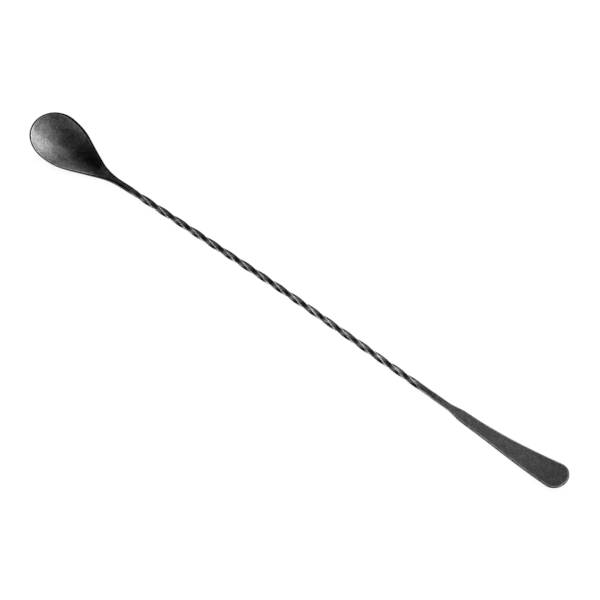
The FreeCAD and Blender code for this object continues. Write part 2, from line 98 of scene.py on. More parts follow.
# paddle, measured from its end
NECK_END = 71.4 * MM
BLADE_ROOT = 64 * MM
ROOT_HALF_WIDTH = 2.75 * MM
END_RADIUS = 7.05 * MM
HOLLOW_RADIUS = 540 * MM
HOLLOW_END = 32 * MM
SHOULDER_ROUNDS = (12 * MM, 4 * MM)
BLADE_GAUGE = 2.0 * MM
TAPER_END = 54 * MM
CURL_START = 46.3 * MM
CURL_RADIUS = 175 * MM
BLADE_EDGE = (0.55 * MM, 0.5 * MM)  # rounding of the blade's edge: how far in and how far down
NECK_EDGE = 0.5                    # the rounding's share that the neck has
BLADE_END_EDGE = 1.6               # the rounding grows by this factor at the blade's end
CREASE_BLEND = 2.0 * MM            # the blade's bends are eased over this length each way
CREASE_SAMPLES = 6                 # each way

# places that the frame gives
TIP_X = cad_low.x
END_X = cad_high.x
BOWL_HALF_WIDTH = cad_high.y


def middle(node):
    low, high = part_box(node)
    return (low + high) / 2


BOWL_JOINT = middle("bowl_weld")
PADDLE_JOINT = middle("paddle_weld")

# ------------------------------------------------------------------------- run of the rod

BEND_X = TIP_X + BEND_FROM_TIP
RISE = (BEND_HEIGHT - BOWL_JOINT.z) / (BEND_X - BOWL_JOINT.x)
FALL = (BEND_HEIGHT - PADDLE_JOINT.z) / (PADDLE_JOINT.x - BEND_X)
BEND_REACH = BEND_RADIUS * math.tan((math.atan(RISE) + math.atan(FALL)) / 2)


def smooth_step(low, high, value):
    fraction = min(1.0, max(0.0, (value - low) / (high - low)))
    return fraction * fraction * (3 - 2 * fraction)


def rod_height(x):
    """Height of the rod's axis: two straight runs joined by one arc."""
    start = BEND_X - BEND_REACH * math.cos(math.atan(RISE))
    end = BEND_X + BEND_REACH * math.cos(math.atan(FALL))
    if x <= start:
        return BEND_HEIGHT + RISE * (x - BEND_X)
    if x >= end:
        return BEND_HEIGHT - FALL * (x - BEND_X)
    centre_x = start + BEND_RADIUS * math.sin(math.atan(RISE))
    centre_z = BEND_HEIGHT + RISE * (start - BEND_X) - BEND_RADIUS * math.cos(math.atan(RISE))
    return centre_z + math.sqrt(BEND_RADIUS ** 2 - (x - centre_x) ** 2)


def rod_slope(x):
    step = 0.01 * MM
    return math.atan2(rod_height(x + step) - rod_height(x - step), 2 * step)


def rod_frame(x):
    """Matrix at a point of the rod's axis, its X along the rod and its Z up."""
    turn = Matrix.Rotation(-rod_slope(x), 4, "Y")
    return Matrix.Translation((x, 0, rod_height(x))) @ turn


# ------------------------------------------------------------------------- mesh helpers

MERGE = 1e-7                       # points closer than this are one point


def mesh_piece(name, rings, node, closed, capped, places=None):
    """Solid piece skinned over a list of point rings, riding on the frame and standing for a node.

    closed joins the last ring to the first; capped closes the two end rings with a fan.  places
    holds a vector for each point, for the look of the metal.
    """
    mesh = bpy.data.meshes.new(name)
    work = bmesh.new()
    layer = work.verts.layers.float_vector.new("along") if places else None
    rows = []
    for number, ring in enumerate(rings):
        row = [work.verts.new(point) for point in ring]
        if places:
            for vertex, value in zip(row, places[number]):
                vertex[layer] = value
        rows.append(row)
    next_rows = rows[1:] + rows[:1] if closed else rows[1:]
    for row, next_row in zip(rows, next_rows):
        count = len(row)
        for i in range(count):
            j = (i + 1) % count
            work.faces.new((row[i], next_row[i], next_row[j], row[j]))
    if capped:
        for row in (rows[0], rows[-1]):
            centre = sum((v.co for v in row), Vector()) / len(row)
            hub = work.verts.new(centre)
            if places:
                hub[layer] = row[0][layer]
            for i in range(len(row)):
                work.faces.new((row[i], row[(i + 1) % len(row)], hub))
    return finish_mesh(name, mesh, work, node)


def finish_mesh(name, mesh, work, node):
    """Write the mesh and make its object ride on the frame and stand for a node."""
    bmesh.ops.remove_doubles(work, verts=work.verts, dist=MERGE)
    bmesh.ops.recalc_face_normals(work, faces=work.faces)
    work.to_mesh(mesh)
    work.free()
    mesh.shade_smooth()
    piece = bpy.data.objects.new(name, mesh)
    bpy.context.scene.collection.objects.link(piece)
    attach(piece, "root")
    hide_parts(node)
    return piece


def corner_curve(start, corner, end, steps):
    """Points strictly between start and end on the parabola that a corner pulls round."""
    points = []
    for i in range(1, steps):
        t = i / steps
        points.append(start * (1 - t) ** 2 + corner * 2 * t * (1 - t) + end * t ** 2)
    return points


def inward_normals(outline):
    """Unit vectors in plan that point to the left of the outline's run."""
    normals = []
    last = len(outline) - 1
    for i in range(len(outline)):
        run = outline[min(last, i + 1)] - outline[max(0, i - 1)]
        normals.append(Vector((-run.y, run.x, 0)).normalized())
    return normals


# ------------------------------------------------------------------------- pressings

SPAN_STEPS = 26                    # from the spine to the rim, on each face
ROUND_STEPS = 5                    # round each edge of the rim
MOST_DROP = 0.48                   # share of the rim's height that one rounding may take


def rib(spine, edge, inward, top, bottom, rounding):
    """Points of one rib: out over the top from the spine, round the rim and back underneath."""
    def on(surface, point):
        return Vector((point.x, point.y, surface(point.x, point.y)))

    inset_by, drop = rounding(edge)
    inset = edge + inward * inset_by
    points = []
    for i in range(SPAN_STEPS + 1):
        points.append(on(top, spine.lerp(inset, i / SPAN_STEPS)))
    top_corner = on(top, edge)
    low_corner = on(bottom, edge)
    drop = min(drop, (top_corner.z - low_corner.z) * MOST_DROP)
    side_high = top_corner - Vector((0, 0, drop))
    side_low = low_corner + Vector((0, 0, drop))
    points += corner_curve(points[-1], top_corner, side_high, ROUND_STEPS)
    points += [side_high, side_low]
    low_inset = on(bottom, inset)
    points += corner_curve(side_low, low_corner, low_inset, ROUND_STEPS)
    for i in range(SPAN_STEPS + 1):
        points.append(on(bottom, inset.lerp(spine, i / SPAN_STEPS)))
    return points


def pressing(name, node, outline, hub_x, top, bottom, rounding, joint, facing):
    """Closed pressing whose ribs run from a spine to its outline.

    outline goes from the joint along the +Y side to the rounded end's middle.  Past hub_x the ribs
    fan out from the hub.  facing is +1 where the joint is at the +X end.
    """
    last = len(outline) - 1
    mirrored = [Vector((p.x, -p.y, 0)) for p in reversed(outline[:last])]
    whole = outline + mirrored
    normals = inward_normals(whole)
    if normals[0].y > 0:
        normals = [-normal for normal in normals]
    normals[last] = Vector((facing, 0, 0))
    ribs = []
    rims = []
    for edge, inward in zip(whole, normals):
        beyond = (edge.x - hub_x) * facing < 0
        spine = Vector((hub_x if beyond else edge.x, 0, 0))
        points = rib(spine, edge, inward, top, bottom, rounding)
        ribs.append(points)
        rims.append([max(0.0, (point - edge).to_2d().dot(inward.to_2d())) for point in points])
    square_to_rod(ribs[0], joint)
    square_to_rod(ribs[-1], joint)
    for end in (0, -1):
        groove = joint_face(ribs[end], joint)
        ribs = groove[::-1] + ribs if end == 0 else ribs + groove
        rims = [rims[0]] * 2 + rims if end == 0 else rims + [rims[-1]] * 2
    mesh = bpy.data.meshes.new(name)
    work = bmesh.new()
    # distance in from the outline, for the look of the edge
    layer = work.verts.layers.float.new("rim")
    rows = []
    for points, distances in zip(ribs, rims):
        row = [work.verts.new(point) for point in points]
        for vertex, distance in zip(row, distances):
            vertex[layer] = distance
        rows.append(row)
    for row, next_row in zip(rows, rows[1:]):
        for i in range(len(row) - 1):
            work.faces.new((row[i], next_row[i], next_row[i + 1], row[i + 1]))
    bmesh.ops.remove_doubles(work, verts=work.verts, dist=MERGE)
    return finish_mesh(name, mesh, work, node)


def square_to_rod(points, joint):
    """Tilt a rib so that it lies square to the rod, at the groove's edge."""
    lean = math.tan(rod_slope(joint.x))
    for point in points:
        point.x -= (point.z - rod_height(point.x)) * lean


def joint_face(points, joint):
    """Ribs that carry the neck's end down the weld's groove to the root face and close it."""
    from_joint = rod_frame(joint.x)
    to_joint = from_joint.inverted()
    shrink = ROOT_SIDE / BAR_SIDE
    root = []
    hub = []
    for point in points:
        local = to_joint @ point
        root.append(from_joint @ Vector((0, local.y * shrink, local.z * shrink)))
        hub.append(from_joint.to_translation())
    return [root, hub]


# ------------------------------------------------------------------------- bowl

def bowl_keel(x):
    """Inside of the bowl and top of the neck along the middle."""
    deepest = TIP_X + KEEL_FROM_TIP
    if x <= deepest:
        climb = (x - deepest) / (TIP_X - deepest)
        return BOWL_GAUGE + (TIP_HEIGHT - BOWL_GAUGE) * climb ** 2
    reach = BOWL_JOINT.x - deepest
    rod_top = rod_height(BOWL_JOINT.x) + BAR_SIDE / 2
    u = (x - deepest) / reach
    rise = (rod_top - BOWL_GAUGE) * (3 * u ** 2 - 2 * u ** 3)
    return BOWL_GAUGE + rise + RISE * reach * (u ** 3 - u ** 2)


def bowl_top(x, y):
    fade = smooth_step(TIP_X + DISH_FADE[0], TIP_X + DISH_FADE[1], x)
    return bowl_keel(x) + (1 - fade) * y ** 2 / (2 * DISH_RADIUS)


def bowl_bottom(x, y):
    growth = smooth_step(TIP_X + GAUGE_RISE[0], TIP_X + GAUGE_RISE[1], x)
    return bowl_top(x, y) - BOWL_GAUGE - (BAR_SIDE - BOWL_GAUGE) * growth


def even_steps(start, end, count):
    """Evenly spaced numbers from start up to, but not including, end."""
    return [start + (end - start) * i / count for i in range(count)]


def bowl_outline():
    """Plan of the bowl's +Y side from the joint to the tip."""
    widest_x = TIP_X + WIDEST_FROM_TIP
    neck = BAR_SIDE / 2
    slope = math.tan(FLANK_ANGLE)
    leave = math.atan2(BOWL_HALF_WIDTH, SHOULDER_LENGTH * slope)
    leave_x = widest_x + SHOULDER_LENGTH * math.cos(leave)
    leave_y = BOWL_HALF_WIDTH * math.sin(leave)
    flare_y = neck + FLARE_RADIUS * (1 - math.cos(FLANK_ANGLE))
    flare_x = leave_x + (leave_y - flare_y) / slope
    flare_end = flare_x + FLARE_RADIUS * math.sin(FLANK_ANGLE)
    points = []
    for x in even_steps(BOWL_JOINT.x - GROOVE, flare_end, 12):
        points.append(Vector((x, neck, 0)))
    for angle in even_steps(0, FLANK_ANGLE, 24):
        x = flare_end - FLARE_RADIUS * math.sin(angle)
        points.append(Vector((x, neck + FLARE_RADIUS * (1 - math.cos(angle)), 0)))
    for x in even_steps(flare_x, leave_x, 24):
        points.append(Vector((x, flare_y + (flare_x - x) * slope, 0)))
    for angle in even_steps(leave, math.pi / 2, 18):
        x = widest_x + SHOULDER_LENGTH * math.cos(angle)
        points.append(Vector((x, BOWL_HALF_WIDTH * math.sin(angle), 0)))
    for angle in even_steps(math.pi / 2, math.pi, 60):
        x = widest_x + WIDEST_FROM_TIP * math.cos(angle)
        points.append(Vector((x, BOWL_HALF_WIDTH * math.sin(angle), 0)))
    points.append(Vector((TIP_X, 0, 0)))
    return points


def bowl_rounding(edge):
    """How far in and how far down the rim is rounded, less where the bowl narrows to its neck."""
    share = 1 - RIM_LOSS * smooth_step(TIP_X + RIM_FADE[0], TIP_X + RIM_FADE[1], edge.x)
    return BOWL_RIM[0] * share, BOWL_RIM[1] * share


bowl = pressing(
    "bowl_pressing", "bowl", bowl_outline(), TIP_X + WIDEST_FROM_TIP,
    bowl_top, bowl_bottom, bowl_rounding, BOWL_JOINT, 1,
)

# ------------------------------------------------------------------------- paddle


def eased(profile):
    """Surface that is level across the spoon, from a profile whose creases are averaged away."""
    samples = range(-CREASE_SAMPLES, CREASE_SAMPLES + 1)
    offsets = [CREASE_BLEND * i / CREASE_SAMPLES for i in samples]

    def smooth(x, y):
        reach = min(1.0, (x - PADDLE_JOINT.x) / CREASE_BLEND, (END_X - x) / CREASE_BLEND)
        reach = max(0.0, reach)
        return sum(profile(x + reach * offset) for offset in offsets) / len(offsets)

    return smooth


def paddle_top_line(x):
    neck_end = END_X - NECK_END
    taper_end = END_X - TAPER_END
    curl_start = END_X - CURL_START
    # the rod's faces stand half a side off its axis, square to it
    half = BAR_SIDE / 2 / math.cos(math.atan(FALL))
    neck_top = PADDLE_JOINT.z - FALL * (min(x, neck_end) - PADDLE_JOINT.x) + half
    if x <= neck_end:
        return neck_top
    if x <= taper_end:
        return neck_top + (BLADE_GAUGE - neck_top) * (x - neck_end) / (taper_end - neck_end)
    if x <= curl_start:
        return BLADE_GAUGE
    radius = CURL_RADIUS - BLADE_GAUGE
    return CURL_RADIUS - math.sqrt(radius ** 2 - (x - curl_start) ** 2)


def paddle_bottom_line(x):
    half = BAR_SIDE / 2 / math.cos(math.atan(FALL))
    neck_low = PADDLE_JOINT.z - FALL * (x - PADDLE_JOINT.x) - half
    curl_start = END_X - CURL_START
    if x <= curl_start:
        return max(0.0, neck_low)
    return CURL_RADIUS - math.sqrt(CURL_RADIUS ** 2 - (x - curl_start) ** 2)


def blade_side():
    """Heights of the concave side, in plan, with the straight tangent to it and to the end."""
    root = Vector((END_X - BLADE_ROOT, ROOT_HALF_WIDTH, 0))
    centre_x = END_X - END_RADIUS
    hollow_end = END_X - HOLLOW_END
    run = hollow_end - root.x
    low, high = 0.0, 0.5
    for _ in range(60):
        slope = (low + high) / 2
        # end slope of an arc that covers this run, given its start slope
        start = math.asin(math.sin(math.atan(slope)) - run / HOLLOW_RADIUS)
        side_y = root.y + HOLLOW_RADIUS * (math.cos(start) - math.cos(math.atan(slope)))
        # height of the straight's tangent point on the end circle, followed back
        turn = math.atan(slope)
        touch_x = centre_x - END_RADIUS * math.sin(turn)
        touch_y = END_RADIUS * math.cos(turn)
        if side_y + (touch_x - hollow_end) * slope < touch_y:
            low = slope
        else:
            high = slope
    arc_centre = Vector((root.x - HOLLOW_RADIUS * math.sin(start), 0, 0))
    arc_centre.y = root.y + HOLLOW_RADIUS * math.cos(start)
    return root, arc_centre, start, turn, Vector((hollow_end, side_y, 0))


def fillet(corner, before, after, radius, count):
    """Arc tangent to two directions at a corner, from the first direction to the second."""
    angle = before.angle(after)
    reach = radius * math.tan(angle / 2)
    start = corner - before * reach
    side = -1 if before.cross(after).z < 0 else 1
    centre = start + Vector((-before.y, before.x, 0)) * side * radius
    first = start - centre
    points = []
    for turned in even_steps(0, angle * side, count):
        points.append(centre + Matrix.Rotation(turned, 3, "Z") @ first)
    return start, points, corner + after * reach


def paddle_outline():
    """Plan of the paddle's +Y side from the joint to the end."""
    neck = BAR_SIDE / 2
    root, arc_centre, start, turn, straight = blade_side()
    neck_corner = Vector((END_X - NECK_END, neck, 0))
    along = Vector((1, 0, 0))
    flare = (root - neck_corner).normalized()
    side = Vector((math.cos(start), math.sin(start), 0))
    inner_start, inner, inner_end = fillet(neck_corner, along, flare, SHOULDER_ROUNDS[0], 12)
    outer_start, outer, outer_end = fillet(root, flare, side, SHOULDER_ROUNDS[1], 8)
    points = []
    for x in even_steps(PADDLE_JOINT.x + GROOVE, inner_start.x, 16):
        points.append(Vector((x, neck, 0)))
    points += inner
    for fraction in even_steps(0, 1, 6):
        points.append(inner_end.lerp(outer_start, fraction))
    points += outer
    for x in even_steps(outer_end.x, straight.x, 40):
        height = math.sqrt(HOLLOW_RADIUS ** 2 - (x - arc_centre.x) ** 2)
        points.append(Vector((x, arc_centre.y - height, 0)))
    hub_x = END_X - END_RADIUS
    touch = Vector((hub_x - END_RADIUS * math.sin(turn), END_RADIUS * math.cos(turn), 0))
    for fraction in even_steps(0, 1, 28):
        points.append(straight.lerp(touch, fraction))
    for angle in even_steps(math.pi / 2 + turn, 0, 48):
        offset = Vector((math.cos(angle), math.sin(angle), 0))
        points.append(Vector((hub_x, 0, 0)) + offset * END_RADIUS)
    points.append(Vector((END_X, 0, 0)))
    return points


def blade_rounding(edge):
    """How far in and how far down the blade's edge is rounded, least on the neck."""
    growth = smooth_step(END_X - NECK_END, END_X - BLADE_ROOT, edge.x)
    share = NECK_EDGE + (1 - NECK_EDGE) * growth
    share += (BLADE_END_EDGE - 1) * smooth_step(END_X - END_RADIUS, END_X - END_RADIUS / 4, edge.x)
    return BLADE_EDGE[0] * share, BLADE_EDGE[1] * share


paddle = pressing(
    "paddle_blade", "paddle", paddle_outline(), END_X - END_RADIUS,
    eased(paddle_top_line), eased(paddle_bottom_line), blade_rounding, PADDLE_JOINT, -1,
)

# ------------------------------------------------------------------------- twisted rod

RINGS_PER_QUARTER = 32


def twist_angle(x):
    """Turn of the square section: even along the rod and eased in at both ends."""
    length = QUARTER_TURNS * QUARTER_PITCH + TWIST_EASE
    run = min(length, max(0.0, x - TIP_X - TWIST_FROM_TIP + TWIST_EASE / 2))
    quarters = (run - TWIST_EASE / 2) / QUARTER_PITCH
    if run < TWIST_EASE:
        quarters = run ** 2 / (2 * TWIST_EASE * QUARTER_PITCH)
    elif run > length - TWIST_EASE:
        left = (length - run) ** 2 / (2 * TWIST_EASE * QUARTER_PITCH)
        quarters = QUARTER_TURNS - left
    return quarters * math.pi / 2


def square_section(side, corner, flat_steps=4, corner_steps=4):
    """Points (y, z) round a square with rounded corners, the first corner's arc first."""
    points = []
    inner = side / 2 - corner
    for quarter in range(4):
        start = quarter * math.pi / 2
        turn = Matrix.Rotation(start, 2)
        for i in range(corner_steps + 1):
            angle = math.pi / 2 * i / corner_steps
            point = Vector((inner + corner * math.cos(angle), inner + corner * math.sin(angle)))
            points.append(turn @ point)
        for i in range(1, flat_steps):
            point = Vector((inner - 2 * inner * i / flat_steps, side / 2))
            points.append(turn @ point)
    return points


def section_at(x, along, section, angle):
    turn = Matrix.Rotation(angle, 2)
    ring = []
    for point in section:
        y, z = turn @ point
        ring.append(rod_frame(x) @ Vector((along, y, z)))
    return ring


def make_rod():
    section = square_section(BAR_SIDE, BAR_CORNER)
    root = square_section(ROOT_SIDE, BAR_CORNER * ROOT_SIDE / BAR_SIDE)
    first = BOWL_JOINT.x
    last = PADDLE_JOINT.x
    step = QUARTER_PITCH / RINGS_PER_QUARTER
    count = round((last - first - 2 * GROOVE) / step)
    rings = [section_at(first, 0, root, twist_angle(first))]
    places = [first]
    for i in range(count + 1):
        x = first + GROOVE + (last - first - 2 * GROOVE) * i / count
        rings.append(section_at(x, 0, section, twist_angle(x)))
        places.append(x)
    rings.append(section_at(last, 0, root, twist_angle(last)))
    places.append(last)
    # each point's place in the bar before it was twisted, for the metal's drawn grain
    straight = [[Vector((x, y, z)) for y, z in section] for x in places]
    return mesh_piece("twisted_rod", rings, "twisted_shaft", False, True, straight)


rod = make_rod()

# ------------------------------------------------------------------------- welds

CROWN_POINTS = 9


def make_weld(name, node, joint):
    """Ring of weld metal: a low dressed crown outside and a V that meets the groove inside."""
    profile = []
    for i in range(CROWN_POINTS):
        across = 2 * i / (CROWN_POINTS - 1) - 1
        proud = CROWN * (1 - across ** 2)
        profile.append((across * GROOVE, BAR_SIDE + 2 * proud))
    profile.append((0.0, ROOT_SIDE))
    rings = []
    for along, side in profile:
        section = square_section(side, BAR_CORNER * side / BAR_SIDE)
        rings.append(section_at(joint.x, along, section, 0))
    return mesh_piece(name, rings, node, True, False)


bowl_weld = make_weld("bowl_weld_bead", "bowl_weld", BOWL_JOINT)
paddle_weld = make_weld("paddle_weld_bead", "paddle_weld", PADDLE_JOINT)

# ------------------------------------------------------------------------- metal

# scale of each noise, in cells per metre
FINE_GRAIN = 1500
CLOUD_GRAIN = 420
PATCH_GRAIN = 90
DRAWN_GRAIN = 1300
DRAWN_STRETCH = 0.1                # drawn streaks are ten times as long as they are wide
ROUGH_CHANGE = 0.04
BUMP_HEIGHT = 0.04 * MM
# edges: widths of the painted shade along the rim and of the painted highlight line inside it
LINE_SOFTNESS = 0.1 * MM
BOWL_DARK_RIM = 0.75 * MM
BOWL_HIGHLIGHT_LINE = 0.4 * MM
BLADE_DARK_RIM = 0.1 * MM
BLADE_HIGHLIGHT_LINE = 0.6 * MM
# bowl, distances from the tip: where a change starts, is full, starts to fade and has gone
FLANK_HIGHLIGHT = (8 * MM, 24 * MM, 42 * MM, 49 * MM)
THROAT = (24 * MM, 32 * MM, 39 * MM, 45 * MM)
THIN_RIM_END = (6 * MM, 13 * MM)
BROAD_RIM_END = (24 * MM, 34 * MM)
NECK_DARKENS = (49 * MM, 59 * MM)
# bowl, distances across it from its middle
FLANK_SIDE = (-3 * MM, -1 * MM)
RIM_SIDE = (0.0, 4 * MM)
NEAR_WALL = (-3.8 * MM, 0.4 * MM)
FAR_WALL = (3 * MM, 7 * MM)
# rod, distances from the middle of a side and, for the last three, along the rod
HOLLOW_BAND = (0.3 * MM, 0.8 * MM)
CORNER_BAND = (0.95 * MM, 1.15 * MM)
CORNERS_START = 4 * MM
CORNERS_STOP = 5 * MM
LIGHTER_REACH = 90 * MM
# paddle, distances from its end, where its painted rim shade and painted highlight line start
BLADE_RIM_START = (66 * MM, 56 * MM)
BLADE_LINE_START = (72 * MM, 48 * MM)


class Nodes:
    """Small helper that adds and links the nodes of one material."""

    def __init__(self, name):
        self.material = bpy.data.materials.new(name)
        self.material.use_nodes = True
        self.tree = self.material.node_tree
        self.shader = self.tree.nodes["Principled BSDF"]

    def add(self, kind, settings=None, **inputs):
        node = self.tree.nodes.new(kind)
        for key, value in (settings or {}).items():
            setattr(node, key, value)
        for key, value in inputs.items():
            self.feed(node, key.replace("_", " "), value)
        return node

    def feed(self, node, key, value):
        socket = node.inputs[key]
        if isinstance(value, bpy.types.NodeSocket):
            self.tree.links.new(value, socket)
        else:
            socket.default_value = value

    def noise(self, vector, scale, detail=4.0, roughness=0.55):
        node = self.add("ShaderNodeTexNoise", Scale=scale, Detail=detail, Roughness=roughness)
        self.feed(node, "Vector", vector)
        return node.outputs["Fac"]

    def ramp(self, value, low, high, from_low=0.3, from_high=0.7):
        """From low to high as the value goes from from_low to from_high, and flat beyond."""
        node = self.add("ShaderNodeMapRange")
        self.feed(node, "Value", value)
        for key, number in (("From Min", from_low), ("From Max", from_high),
                            ("To Min", low), ("To Max", high)):
            self.feed(node, key, number)
        return node.outputs["Result"]

    def math(self, operation, first, second):
        node = self.add("ShaderNodeMath", {"operation": operation})
        self.tree.links.new(first, node.inputs[0])
        if isinstance(second, bpy.types.NodeSocket):
            self.tree.links.new(second, node.inputs[1])
        else:
            node.inputs[1].default_value = second
        return node.outputs["Value"]


def coated_metal(name, tone, roughness, grain):
    """Near-black coated steel: a fine mottled grain over a cloudy tone."""
    n = Nodes(name)
    place = n.add("ShaderNodeTexCoord").outputs["Object"]
    fine = n.noise(place, FINE_GRAIN, 2.0, 0.6)
    cloud = n.noise(place, CLOUD_GRAIN, 4.0, 0.6)
    patch = n.noise(place, PATCH_GRAIN, 3.0, 0.5)
    n.cloud = cloud
    n.place = place
    n.tone = tone
    n.level = n.ramp(fine, 1 - grain, 1 + grain)
    n.level = n.math("MULTIPLY", n.level, n.ramp(cloud, 1 - grain / 2, 1 + grain / 2))
    n.level = n.math("MULTIPLY", n.level, n.ramp(patch, 0.92, 1.08))
    n.rough = n.ramp(cloud, roughness - ROUGH_CHANGE, roughness + ROUGH_CHANGE)
    n.height = n.math("ADD", fine, cloud)
    return n


def painted_rim_shade(n, dark_width, dark, line_width, bright, shrink=1.0):
    """Painted shade on the outermost edge, with a painted highlight line just inside it.

    dark, bright and shrink may be numbers or the outputs of nodes; the rim is narrower where
    shrink is over 1.
    """
    distance = n.add("ShaderNodeAttribute", {"attribute_name": "rim"}).outputs["Fac"]
    distance = n.math("MULTIPLY", distance, shrink)
    dark_end = (dark_width - LINE_SOFTNESS, dark_width + LINE_SOFTNESS)
    line_end = dark_width + line_width
    inside = n.ramp(distance, dark, 1.0, *dark_end)
    before = n.ramp(distance, 0.0, 1.0, *dark_end)
    after = n.ramp(distance, 1.0, 0.0, line_end - LINE_SOFTNESS, line_end + LINE_SOFTNESS)
    line = n.math("MULTIPLY", n.math("MULTIPLY", before, after), n.ramp(n.cloud, 0.4, 1.0))
    # painted shade on the outermost edge, then the painted highlight line
    n.level = n.math("MULTIPLY", n.level, inside)
    n.level = n.math("ADD", n.level, n.math("MULTIPLY", line, bright))


def places_of(n):
    """Where a point of the piece lies, in metres: along the spoon, and across it."""
    parts = n.add("ShaderNodeSeparateXYZ")
    n.tree.links.new(n.place, parts.inputs[0])
    return parts.outputs["X"], parts.outputs["Y"]


def painted_flank_light(n):
    """1 on the bowl's -Y flank, where the rim's painted shade is lighter and its painted highlight
    line brighter, and 0 elsewhere.
    """
    along, across = places_of(n)
    start, full, fade, end = (TIP_X + place for place in FLANK_HIGHLIGHT)
    share = n.math("MULTIPLY", n.ramp(along, 0.0, 1.0, start, full),
                   n.ramp(along, 1.0, 0.0, fade, end))
    return n.math("MULTIPLY", share, n.ramp(across, 1.0, 0.0, *FLANK_SIDE))


def far_rim(n):
    """How much the painted shade and painted highlight line of the bowl's +Y rim are narrowed: over
    1 near the tip, under 1 after it.
    """
    along, across = places_of(n)
    falling_ramp = n.ramp(along, 0.3, -0.28, *(TIP_X + place for place in THIN_RIM_END))
    change = n.math("MULTIPLY", falling_ramp,
                    n.ramp(along, 1.0, 0.0, *(TIP_X + place for place in BROAD_RIM_END)))
    return n.math("ADD", n.math("MULTIPLY", change, n.ramp(across, 0.0, 1.0, *RIM_SIDE)), 1.0)


def painted_throat_shade(n, dark, far, neck, bar):
    """Painted shade in the bowl's throat, less of it on its walls, painted light on the neck, and
    darker towards the neck's end.

    dark, far, neck and bar are the levels of the throat, its far wall, the neck and the neck's end.
    """
    along, across = places_of(n)
    start, full, fade, end = (TIP_X + place for place in THROAT)
    wall = n.math("MAXIMUM", n.ramp(across, 1.0, dark, *NEAR_WALL),
                  n.ramp(across, dark, far, *FAR_WALL))
    n.level = n.math("MULTIPLY", n.level, n.math(
        "MAXIMUM", wall, n.math("MAXIMUM", n.ramp(along, 1.0, dark, start, full),
                                n.ramp(along, dark, 1.0, fade, end))))
    n.level = n.math("MULTIPLY", n.level, n.ramp(along, 1.0, neck, fade, end))
    darkens = (TIP_X + place for place in NECK_DARKENS)
    n.level = n.math("MULTIPLY", n.level, n.ramp(along, 1.0, bar, *darkens))


def drawn_look(n, streaks, hollow, bright):
    """Streaks that turn with the bar, a darker middle to each side and corners painted bright, as
    wear and as a painted highlight.
    """
    along = n.add("ShaderNodeAttribute", {"attribute_name": "along"}).outputs["Vector"]
    stretch = n.add("ShaderNodeVectorMath", {"operation": "MULTIPLY"})
    n.tree.links.new(along, stretch.inputs[0])
    stretch.inputs[1].default_value = (DRAWN_STRETCH, 1.0, 1.0)
    drawn = n.noise(stretch.outputs["Vector"], DRAWN_GRAIN, 3.0, 0.6)
    n.level = n.math("MULTIPLY", n.level, n.ramp(drawn, 1 - streaks, 1 + streaks))
    n.rough = n.math("ADD", n.rough, n.ramp(drawn, 0.05, -0.05))
    parts = n.add("ShaderNodeSeparateXYZ")
    n.tree.links.new(along, parts.inputs[0])
    across = n.math("ABSOLUTE", parts.outputs["Y"], 0.0)
    upward = n.math("ABSOLUTE", parts.outputs["Z"], 0.0)
    near = n.math("MINIMUM", across, upward)
    n.level = n.math("MULTIPLY", n.level, n.ramp(near, hollow, 1.0, *HOLLOW_BAND))
    # corner band: wear and a painted highlight
    corner = n.ramp(near, 0.0, bright, *CORNER_BAND)
    place = parts.outputs["X"]
    first = TIP_X + TWIST_FROM_TIP
    last = first + QUARTER_TURNS * QUARTER_PITCH
    # lighter towards the bowl
    falling_ramp = n.ramp(place, 1.5, 1.05, first, first + LIGHTER_REACH)
    n.level = n.math("MULTIPLY", n.level, falling_ramp)
    # the twisted corners are painted bright, as wear and as a painted highlight, and those of the
    # plain stretches at its ends hardly at all
    started = n.ramp(place, 0.15, 1.0, first, first + CORNERS_START)
    stopped = n.ramp(place, 1.0, 0.1, last - CORNERS_STOP, last)
    corner = n.math("MULTIPLY", n.math("MULTIPLY", corner, started), stopped)
    n.level = n.math("ADD", n.level, n.math("MULTIPLY", corner, n.ramp(drawn, 0.5, 1.0)))


def finished(n):
    """The material, once its level, roughness and height are joined to the shader."""
    colour = n.add("ShaderNodeVectorMath", {"operation": "SCALE"})
    colour.inputs[0].default_value = n.tone
    n.tree.links.new(n.level, colour.inputs["Scale"])
    n.feed(n.shader, "Base Color", colour.outputs["Vector"])
    n.feed(n.shader, "Metallic", 1.0)
    n.feed(n.shader, "Roughness", n.rough)
    bump = n.add("ShaderNodeBump", Strength=0.3, Distance=BUMP_HEIGHT)
    n.feed(bump, "Height", n.height)
    n.feed(n.shader, "Normal", bump.outputs["Normal"])
    return n.material


def record_tone(slot_name, lift):
    """The record's own colour for a slot, lifted by a factor for the light in this scene."""
    for entry in frame["record"]["materials"]:
        if entry["slot"] == slot_name:
            return tuple(channel * lift for channel in entry["base_color"])
    raise ValueError("the record has no slot " + slot_name)


look = coated_metal("bowl_metal", record_tone("bowl_metal", 1.0), 0.42, 0.6)
# painted shade in the bowl's throat and painted light on the neck
painted_throat_shade(look, 0.3, 0.6, 1.2, 0.55)
# painted shade along the bowl's rim and a painted highlight line inside it, lighter and brighter on
# the -Y flank, of changed width on the +Y side
side_light = painted_flank_light(look)
painted_rim_shade(look, BOWL_DARK_RIM, look.ramp(side_light, 0.04, 0.6, 0.0, 1.0),
         BOWL_HIGHLIGHT_LINE, look.ramp(side_light, 0.8, 2.6, 0.0, 1.0), far_rim(look))
bowl.data.materials.append(finished(look))

look = coated_metal("rod_metal", record_tone("rod_metal", 1.0), 0.42, 0.3)
drawn_look(look, 0.35, 0.75, 8.0)
rod.data.materials.append(finished(look))

look = coated_metal("paddle_metal", record_tone("paddle_metal", 1.77), 0.45, 0.5)
